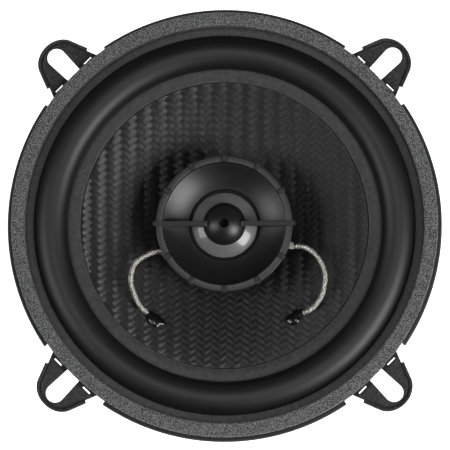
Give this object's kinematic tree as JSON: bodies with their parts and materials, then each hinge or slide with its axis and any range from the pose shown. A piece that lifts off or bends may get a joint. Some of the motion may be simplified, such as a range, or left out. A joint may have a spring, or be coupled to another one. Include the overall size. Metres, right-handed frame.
{
  "type": "coaxial car speaker",
  "caption": "Round coaxial car loudspeaker: woven-fibre cone in a rubber roll, small dome tweeter on a centre post, pressed basket with slotted mounting tabs and a ferrite motor",
  "frame": {"origin": "centre of the yoke's rear face, on which the speaker stands", "axes": "+Z is the speaker's axis and points out of its front; +Y is up in the mounted view, +X to the right; the tabs are on the diagonals and the terminals point to -Y"},
  "size_m": [0.132, 0.132, 0.0502],
  "materials": {
    "coated_steel": "black electrocoated pressed steel, fine texture, satin",
    "gasket_board": "grainy charcoal gasket with a coarse sparkling texture",
    "butyl_rubber": "smooth satin black rubber",
    "woven_fibre": "black herringbone twill fibre in clear resin, satin",
    "spider_cloth": "tan resin-treated cloth, matt",
    "former_film": "amber film",
    "copper_wire": "enamelled copper winding",
    "zinc_plate": "zinc-plated steel",
    "ferrite": "dark grey sintered ferrite",
    "moulded_black": "satin black moulded plastic",
    "silk": "coated grey-black silk",
    "tinsel": "silver braided tinsel over a cotton core",
    "glue": "glossy black rubber glue",
    "board_paper": "brown phenolic paper board",
    "tinned_brass": "bright tinned brass",
    "neodymium": "nickel-plated sintered magnet",
    "sleeve": "dark blue shrink sleeve"
  },
  "bodies": {
    "root": {"basket": "coated_steel", "gasket_ring": "gasket_board", "surround": "butyl_rubber", "spider": "spider_cloth", "top_plate": "zinc_plate", "magnet": "ferrite", "pole_yoke": "zinc_plate", "basket_rivet_1": "coated_steel", "basket_rivet_2": "coated_steel", "basket_rivet_3": "coated_steel", "basket_rivet_4": "coated_steel", "tweeter_post": "moulded_black", "post_washer": "zinc_plate", "post_nut": "zinc_plate", "tweeter_housing": "moulded_black", "tweeter_bezel": "moulded_black", "tweeter_waveguide": "moulded_black", "tweeter_cup": "zinc_plate", "tweeter_magnet": "neodymium", "tweeter_pole_disc": "zinc_plate", "tweeter_suspension": "silk", "tweeter_lug_left": "tinned_brass", "tweeter_lug_right": "tinned_brass", "tweeter_lead_left": "tinsel", "tweeter_lead_right": "tinsel", "woofer_lead_left": "tinsel", "woofer_lead_right": "tinsel", "terminal_board": "board_paper", "board_rivet": "zinc_plate", "terminal_positive": "tinned_brass", "terminal_negative": "tinned_brass", "terminal_rivet_positive": "zinc_plate", "terminal_rivet_negative": "zinc_plate", "crossover_capacitor": "sleeve"},
    "cone_assembly": {"cone": "woven_fibre", "voice_coil_former": "former_film", "voice_coil": "copper_wire", "lead_glue_left": "glue", "lead_glue_right": "glue"},
    "dome_assembly": {"tweeter_dome": "silk", "tweeter_voice_coil": "copper_wire"}
  },
  "joints": [
    {"name": "cone_stroke", "type": "slide", "parent": "root", "child": "cone_assembly", "axis": [0, 0, 1], "range_m": [-0.003, 0.003], "stiffness_N_per_m": 2280, "deforming": ["surround", "spider", "tweeter_lead_left", "tweeter_lead_right", "woofer_lead_left", "woofer_lead_right"]},
    {"name": "tweeter_stroke", "type": "slide", "parent": "root", "child": "dome_assembly", "axis": [0, 0, 1], "range_m": [-0.0003, 0.0003], "stiffness_N_per_m": 1000, "deforming": ["tweeter_suspension"]}
  ]
}
